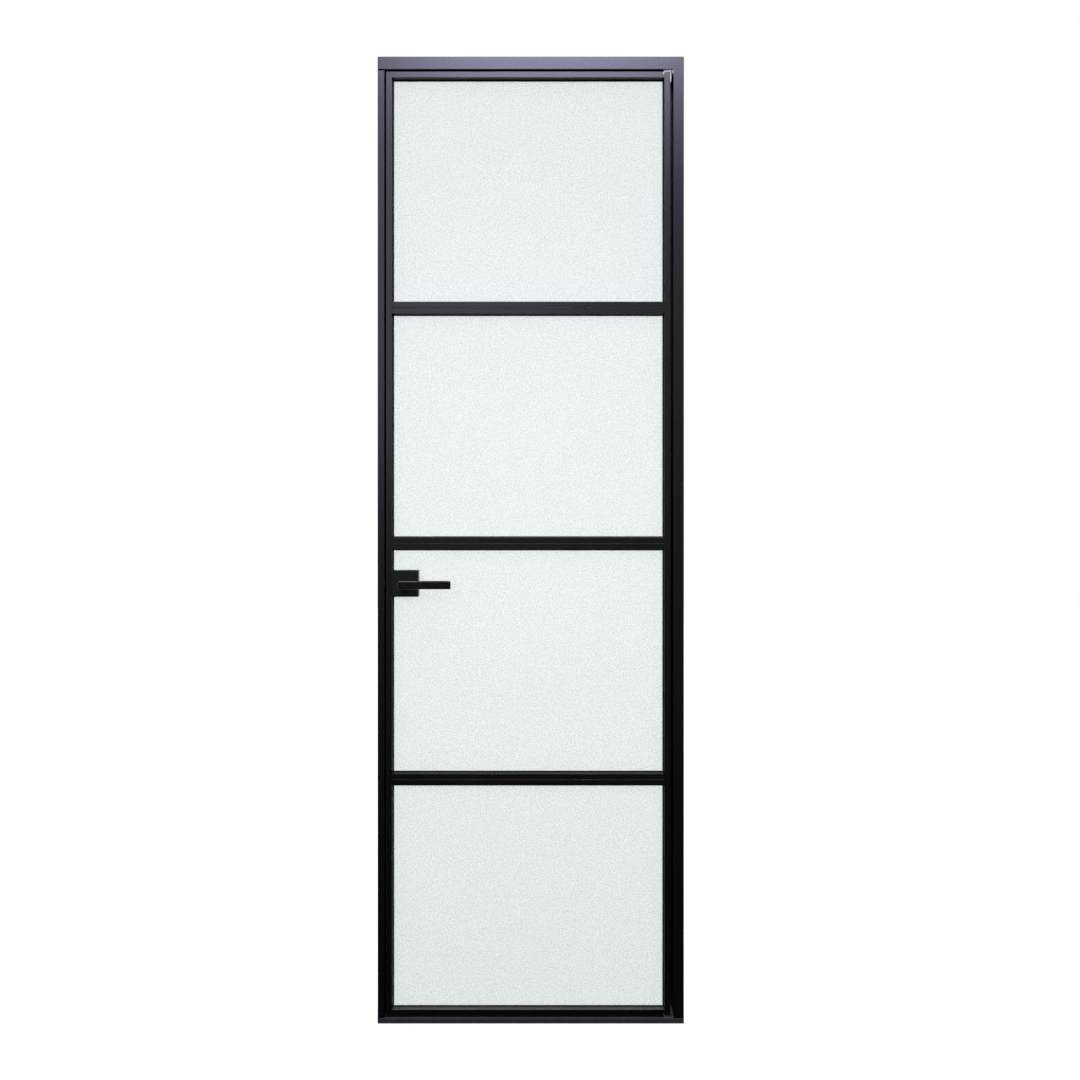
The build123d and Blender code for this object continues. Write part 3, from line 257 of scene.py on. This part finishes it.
dress(["head_frame", "lock_jamb", "hinge_jamb"],
      powder_coat("satin_black_powder_coat", FRAME_REVEAL_GLOSS, THIN_DUST_AND_TOP_LIGHT))
slant_sprayed = powder_coat("slant_sprayed_powder_coat", LEAF_REVEAL_GLOSS, THIN_DUST_AND_TOP_LIGHT)
dress(["lock_stile", "hinge_stile", "top_rail", "glazing_bar_1", "glazing_bar_2", "glazing_bar_3"],
      slant_sprayed)
# The bottom rail's ledge gets the most dust and painted light from above.
dress(["bottom_rail"], powder_coat("dust_and_top_light_powder_coat", LEAF_REVEAL_GLOSS, THICK_DUST_AND_TOP_LIGHT))


# Threshold: one low extrusion that lies across the opening under both jambs. Its powder coat is the same, but
# drawn paler and duller in streaks across the tread: partly wear from shoes, partly painted sheen from above.
wear_and_sheen_coat, tree, shader = material("wear_and_sheen_powder_coat")
streaks = grain(tree, size_mm=14.0, detail=4.0, stretch=(1.0, 0.15, 1.0))
# Paler than the members' coat: partly wear, partly painted sheen of the light from above.
wear_and_sheen = blended(tree, streaks, linear("#303132"), linear("#454646"))
tree.links.new(add_dust_and_top_light(tree, wear_and_sheen, THIN_DUST_AND_TOP_LIGHT), shader.inputs["Base Color"])
tree.links.new(between(tree, streaks, 0.5, 0.65), shader.inputs["Roughness"])
set_surface(shader, Specular_IOR_Level=0.2)
relief(tree, shader, grain(tree, size_mm=PEEL_SIZE_MM), depth_mm=0.03)
dress(["threshold"], wear_and_sheen_coat)


# Bead in each face of a glazing bar: an aluminium strip with a flattened crown, snapped into the bar's fine
# groove and coated with it. It draws the light line along the bar, just under the middle.
BEAD_HALF_HEIGHT = 0.0009
BEAD_DROP = 0.0007
BEAD_SEAT = 0.0017
BEAD_RISE = 0.0022
BEAD_FULLNESS = 0.3
BEAD_END = 0.0005
BEAD_STEPS = 40


def mesh_piece(name, points, faces, body, finish, nodes=()):
    """A smooth closed piece from its points and faces, all faces turned outwards. It rides on the body, takes
    its finish from the slot, and stands for the nodes."""
    mesh = bpy.data.meshes.new(name)
    mesh.from_pydata(points.reshape(-1, 3).tolist(), [], faces)
    shape = bmesh.new()
    shape.from_mesh(mesh)
    bmesh.ops.recalc_face_normals(shape, faces=shape.faces)
    shape.to_mesh(mesh)
    shape.free()
    mesh.polygons.foreach_set("use_smooth", np.ones(len(mesh.polygons), dtype=bool))
    mesh.materials.append(finish)
    piece = bpy.data.objects.new(name, mesh)
    scene.collection.objects.link(piece)
    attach(piece, body)
    if nodes:
        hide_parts(*nodes)


def tube_faces(rings, around, first=0):
    """Faces of a closed tube of rings: quads between each ring and the next, and each end ring closed by a fan
    to a point of its own, which comes after the rings' points."""
    start = first + np.arange(rings - 1)[:, None] * around
    here = np.arange(around)[None, :]
    after = (here + 1) % around
    quads = np.stack([start + here, start + after, start + around + after, start + around + here], axis=-1)
    poles = first + rings * around
    last = first + (rings - 1) * around
    low = np.stack([first + after[0], first + here[0], np.full(around, poles)], axis=-1)
    high = np.stack([last + here[0], last + after[0], np.full(around, poles + 1)], axis=-1)
    return quads.reshape(-1, 4).tolist() + low.tolist() + high.tolist()


def closed_rings(rings):
    """The rings' points in a row, followed by the middle of the first ring and of the last."""
    return np.concatenate([rings.reshape(-1, 3), rings[0].mean(0)[None], rings[-1].mean(0)[None]])


def bead_rings(low, high, face, outward):
    """Rings along a straight bead. The height is the half height times the cosine of the angle, less the drop
    below the bar's middle. The stand from the seat is the rise times the angle's sine to the power of the
    fullness, which flattens the crown. A flat back closes it, and a short ring pitch at each end keeps the
    crown's shading straight."""
    angle = np.linspace(0.0, np.pi, BEAD_STEPS)
    x = np.array([low.x, low.x + BEAD_END, high.x - BEAD_END, high.x])[:, None]
    height = (low.z + high.z) / 2 - BEAD_DROP + BEAD_HALF_HEIGHT * np.cos(angle)[None, :]
    stand = face + outward * (BEAD_RISE * np.abs(np.sin(angle))[None, :] ** BEAD_FULLNESS - BEAD_SEAT)
    return np.stack(np.broadcast_arrays(x, stand, height), axis=-1)


for number in (1, 2, 3):
    low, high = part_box("glazing_bar_%d" % number)
    for side, face, outward in (("front", low.y, -1), ("rear", high.y, 1)):
        rings = bead_rings(low, high, face, outward)
        mesh_piece("%s_bead_%d" % (side, number), closed_rings(rings), tube_faces(*rings.shape[:2]),
                   "leaf", slant_sprayed)


# Panes: 5 mm float glass whose face is finely pebbled by acid and rollers, so that it is frosted, near white,
# and sparkles in points about 3 mm across. The relief is too fine for the mesh, so it is drawn as bump, and
# the sparkle is also painted into the colour, paler on the pebbles' crests.
PANES = ["glass_pane_1", "glass_pane_2", "glass_pane_3", "glass_pane_4"]
PEBBLE_MM = 2.8
frosted, tree, shader = material("pebbled_frosted_glass")
set_surface(shader, Transmission_Weight=0.1, IOR=1.5, Roughness=0.5)
pebbles = grain(tree, size_mm=PEBBLE_MM)
# Painted sparkle: the colour is paler on the pebbles' crests.
painted_sparkle = between(tree, pebbles, 0.0, 1.0)
tree.links.new(blended(tree, painted_sparkle, linear("#d3dad9"), linear("#ffffff")), shader.inputs["Base Color"])
relief(tree, shader, pebbles, depth_mm=0.5)
dress(PANES, frosted)


# Light on the panes: a wide even light falls on them alone, and the members around them cast no shadow from it.
# The blue high softbox, which is there for the coated members, leaves out the panes.
def link_group(light, slot, members, state):
    """Names the objects that a light falls on, or that shade it, or the ones left out of these."""
    group = bpy.data.collections.new(light.name + "_" + slot)
    for member in members:
        group.objects.link(member)
    for entry in group.collection_objects:
        entry.light_linking.link_state = state
    setattr(light.light_linking, slot, group)


panes = [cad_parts[name] for name in PANES]
pane_softbox = softbox("pane_softbox", left=-3.0, right=3.0, bottom=0.2, top=2.6,
                       away=10.0, radiance=16.7, colour=(0.985, 1.0, 1.01))
link_group(pane_softbox, "receiver_collection", panes, "INCLUDE")
link_group(pane_softbox, "blocker_collection", [floor], "INCLUDE")
link_group(high_softbox, "receiver_collection", panes, "EXCLUDE")


# Gaskets round the panes, seals on the frame's stops, and the panes' setting blocks: black EPDM rubber,
# extruded, dull and slightly dusty.
rubber, tree, shader = material("black_epdm_rubber")
bloom = grain(tree, size_mm=2.0, detail=4.0)
tree.links.new(blended(tree, bloom, linear("#0a0a0b"), linear("#141415")), shader.inputs["Base Color"])
set_surface(shader, Roughness=0.72, Specular_IOR_Level=0.3)
relief(tree, shader, bloom, depth_mm=0.03)
dress(["glazing_gaskets_%d" % number for number in (1, 2, 3, 4)]
      + ["head_seal", "lock_jamb_seal", "hinge_jamb_seal", "setting_blocks"], rubber)


# Levers: die-cast zinc under a satin black lacquer, a flat grip bowed between its ends on a round neck. The
# edges are rounded to 2.6 mm, and a shallow recess under the neck marks the grub screw that holds the spindle.
GRIP_THICKNESS = 0.010
GRIP_HEEL = 0.0095
GRIP_BOW = 0.0022
GRIP_EDGE = 0.0026
LEAST_EDGE = GRIP_EDGE / 50
EDGE_STEPS = 8
GRIP_STEPS = 40
NECK_RADIUS = 0.008
NECK_FLARE = 0.001
FLARE_LENGTH = 3 * NECK_FLARE
NECK_SINK = 0.003
NECK_STEPS = 96
NECK_RINGS = 64
RECESS_RADIUS = 0.0022
RECESS_DEPTH = 0.0004

lacquer, tree, shader = material("satin_black_lacquer")
rub = grain(tree, size_mm=9.0, detail=4.0)
tree.links.new(blended(tree, rub, linear("#070808"), linear("#0f1010")), shader.inputs["Base Color"])
tree.links.new(between(tree, rub, 0.13, 0.18), shader.inputs["Roughness"])
relief(tree, shader, grain(tree, size_mm=0.9), depth_mm=0.006)


def rounded_rings(half_depth, half_height, radius):
    """Depths and heights round rectangles with rounded corners, one rectangle to a row: each corner's centre,
    plus the radius times the cosine and sine of the angle over its quarter turn, with one more point a third
    of the edge radius along the flat at each end of the turn."""
    quarter = np.linspace(0.0, np.pi / 2, EDGE_STEPS)
    turns = np.arange(4)[:, None] * np.pi / 2
    angle = (np.concatenate([quarter[:1], quarter, quarter[-1:]])[None, :] + turns).ravel()
    shift = np.tile(np.concatenate([[-1.0], np.zeros(EDGE_STEPS), [1.0]]), 4) * GRIP_EDGE / 3
    corner = np.repeat(turns.ravel() + np.pi / 4, EDGE_STEPS + 2)
    depth = np.sign(np.cos(corner)) * (half_depth - radius) + radius * np.cos(angle) - shift * np.sin(angle)
    height = np.sign(np.sin(corner)) * (half_height - radius) + radius * np.sin(angle) + shift * np.cos(angle)
    return depth, height


def grip_rings(low, high, outward):
    """Rings along the grip. Within one edge radius of an end each ring is drawn in by the radius less the
    square root of its square less the square of the distance into the rounding. The front face bows in by
    the bow times one less the square of the place along the grip from -1 to 1, and the back by half that."""
    rounding = GRIP_EDGE * (1 - np.cos(np.linspace(0.0, np.pi / 2, EDGE_STEPS)))
    middle = np.linspace(low.x + GRIP_EDGE, high.x - GRIP_EDGE, GRIP_STEPS)[1:-1]
    x = np.concatenate([low.x + rounding, middle, high.x - rounding[::-1]])[:, None]
    into = np.clip(GRIP_EDGE - np.minimum(x - low.x, high.x - x), 0.0, GRIP_EDGE)
    inset = GRIP_EDGE - np.sqrt(GRIP_EDGE ** 2 - into ** 2)
    dip = GRIP_BOW * (1 - (2 * (x - low.x) / (high.x - low.x) - 1) ** 2)
    front = max(abs(low.y), abs(high.y)) - dip
    back = front + dip / 2 - GRIP_THICKNESS
    depth, height = rounded_rings((front - back) / 2 - inset, (high.z - low.z) / 2 - inset,
                                  np.maximum(GRIP_EDGE - inset, LEAST_EDGE))
    return np.stack(np.broadcast_arrays(x, outward * ((front + back) / 2 + depth),
                                        (low.z + high.z) / 2 + height), axis=-1)


def neck_rings(centre_x, centre_z, start, end, recess_at, outward):
    """Rings round the neck, from start to end away from the leaf. The radius grows by the flare times the
    square of the way through the flare's length, and is less by the recess's depth where the surface lies
    within the recess's radius of its middle, straight down from the axis. The recess's edge slopes over a
    width equal to its depth."""
    away = np.linspace(start, end, NECK_RINGS)[:, None]
    turn = np.linspace(0.0, 2 * np.pi, NECK_STEPS, endpoint=False)[None, :]
    flare = NECK_FLARE * np.clip(1 - (end - away) / FLARE_LENGTH, 0.0, 1.0) ** 2
    across = NECK_RADIUS * np.abs(np.angle(np.exp(1j * (turn - 1.5 * np.pi))))
    distance = np.hypot(across, away - recess_at)
    edge = np.clip((RECESS_RADIUS + RECESS_DEPTH - distance) / RECESS_DEPTH, 0.0, 1.0)
    radius = NECK_RADIUS + flare - RECESS_DEPTH * edge
    return np.stack(np.broadcast_arrays(centre_x + radius * np.cos(turn), outward * away,
                                        centre_z + radius * np.sin(turn)), axis=-1)


for side, outward in (("front", -1), ("rear", 1)):
    low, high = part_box(side + "_lever")
    rose_low, rose_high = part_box(side + "_rose")
    rose_face = max(abs(rose_low.y), abs(rose_high.y))
    grip_back = max(abs(low.y), abs(high.y)) - GRIP_THICKNESS
    grip = grip_rings(low, high, outward)
    neck = neck_rings(low.x + GRIP_HEEL, (low.z + high.z) / 2, rose_face - NECK_SINK,
                      grip_back + NECK_FLARE / 2, (rose_face + grip_back) / 2, outward)
    grip_points = closed_rings(grip)
    points = np.concatenate([grip_points, closed_rings(neck)])
    faces = tube_faces(*grip.shape[:2]) + tube_faces(*neck.shape[:2], len(grip_points))
    mesh_piece(side + "_lever_cast", points, faces, "levers", lacquer, [side + "_lever"])


# Roses, their screws, the lock's faceplate, the strike plate and the latch bolt: die-cast zinc and steel under
# a matt black lacquer, duller than the levers', which hands have polished.
matt, tree, shader = material("matt_black_lacquer")
haze = grain(tree, size_mm=6.0, detail=3.0)
tree.links.new(blended(tree, haze, linear("#0f120f"), linear("#161915")), shader.inputs["Base Color"])
set_surface(shader, Roughness=0.45, Specular_IOR_Level=0.3)
relief(tree, shader, grain(tree, size_mm=0.9), depth_mm=0.006)
dress(["front_rose", "rear_rose", "rose_screws", "lock_faceplate", "faceplate_screws", "strike_plate",
       "latch_bolt", "front_lever", "rear_lever"], matt)


# Pivot plates, straps, pins and washers: stainless steel strip, punched and brushed along its length, with
# scratches about 0.7 mm apart, drawn wider than real so that they show.
brushed, tree, shader = material("brushed_stainless_steel")
scratches = grain(tree, size_mm=0.7, detail=3.0, stretch=(0.04, 1.0, 1.0))
tree.links.new(blended(tree, scratches, linear("#a5a296"), linear("#b8b5a8")), shader.inputs["Base Color"])
tree.links.new(between(tree, scratches, 0.46, 0.56), shader.inputs["Roughness"])
set_surface(shader, Metallic=1.0)
relief(tree, shader, scratches, depth_mm=0.01)
dress(["top_pivot_plate", "bottom_pivot_plate", "top_pivot_pin", "bottom_pivot_pin", "top_pivot_strap",
       "bottom_pivot_strap", "top_thrust_washer", "bottom_thrust_washer"], brushed)


# Corner cleats inside the mitres: aluminium, sawn from a bar and left bare, bright and faintly lined by the
# saw.
sawn, tree, shader = material("sawn_aluminium")
lines = grain(tree, size_mm=0.8, stretch=(1.0, 1.0, 0.05))
tree.links.new(blended(tree, lines, linear("#a9abad"), linear("#c4c6c8")), shader.inputs["Base Color"])
set_surface(shader, Metallic=1.0, Roughness=0.38)
relief(tree, shader, lines, depth_mm=0.03)
dress(["lock_corner_cleat", "hinge_corner_cleat", "leaf_corner_cleats"], sawn)


# Lock case, mortised into the stile, and the pivot blocks in the stile's ends: zinc cast in a mould, which
# leaves it grey and slightly grainy.
cast, tree, shader = material("cast_zinc")
sand = grain(tree, size_mm=1.1, detail=3.0)
tree.links.new(blended(tree, sand, linear("#7d7f82"), linear("#96989b")), shader.inputs["Base Color"])
set_surface(shader, Metallic=1.0, Roughness=0.5)
relief(tree, shader, sand, depth_mm=0.05)
dress(["lock_case", "top_pivot_block", "bottom_pivot_block"], cast)


# Hidden screws, clips, nuts, spindle, follower and magnet: zinc-plated steel, satin with a faint cloud in the
# plating.
plated, tree, shader = material("zinc_plated_steel")
plating = grain(tree, size_mm=3.0, detail=3.0)
tree.links.new(blended(tree, plating, linear("#9c9da0"), linear("#b8b9bb")), shader.inputs["Base Color"])
tree.links.new(between(tree, plating, 0.26, 0.4), shader.inputs["Roughness"])
set_surface(shader, Metallic=1.0)
dress(["jamb_foot_screws", "strike_screws", "pivot_plate_screws", "bar_screws", "strap_screws",
       "lever_grub_screws", "lever_clips", "rose_sleeve_nuts", "spindle", "follower", "strike_magnet"], plated)


# Pivot bushes in the pivot blocks: bronze sintered from powder, dull and finely porous so that it holds its
# oil.
bronze, tree, shader = material("sintered_bronze")
pores = grain(tree, size_mm=0.6)
tree.links.new(blended(tree, pores, linear("#7a5a34"), linear("#94703f")), shader.inputs["Base Color"])
set_surface(shader, Metallic=1.0, Roughness=0.5)
relief(tree, shader, pores, depth_mm=0.03)
dress(["pivot_bushes"], bronze)


# Lever bushes in the roses, and the dust box behind the strike plate: black nylon, moulded, with the mould's
# faint texture.
nylon, tree, shader = material("moulded_black_nylon")
spark = grain(tree, size_mm=0.8)
tree.links.new(blended(tree, spark, linear("#0e0e0f"), linear("#161618")), shader.inputs["Base Color"])
set_surface(shader, Roughness=0.55)
relief(tree, shader, spark, depth_mm=0.01)
dress(["lever_bushes", "strike_box"], nylon)
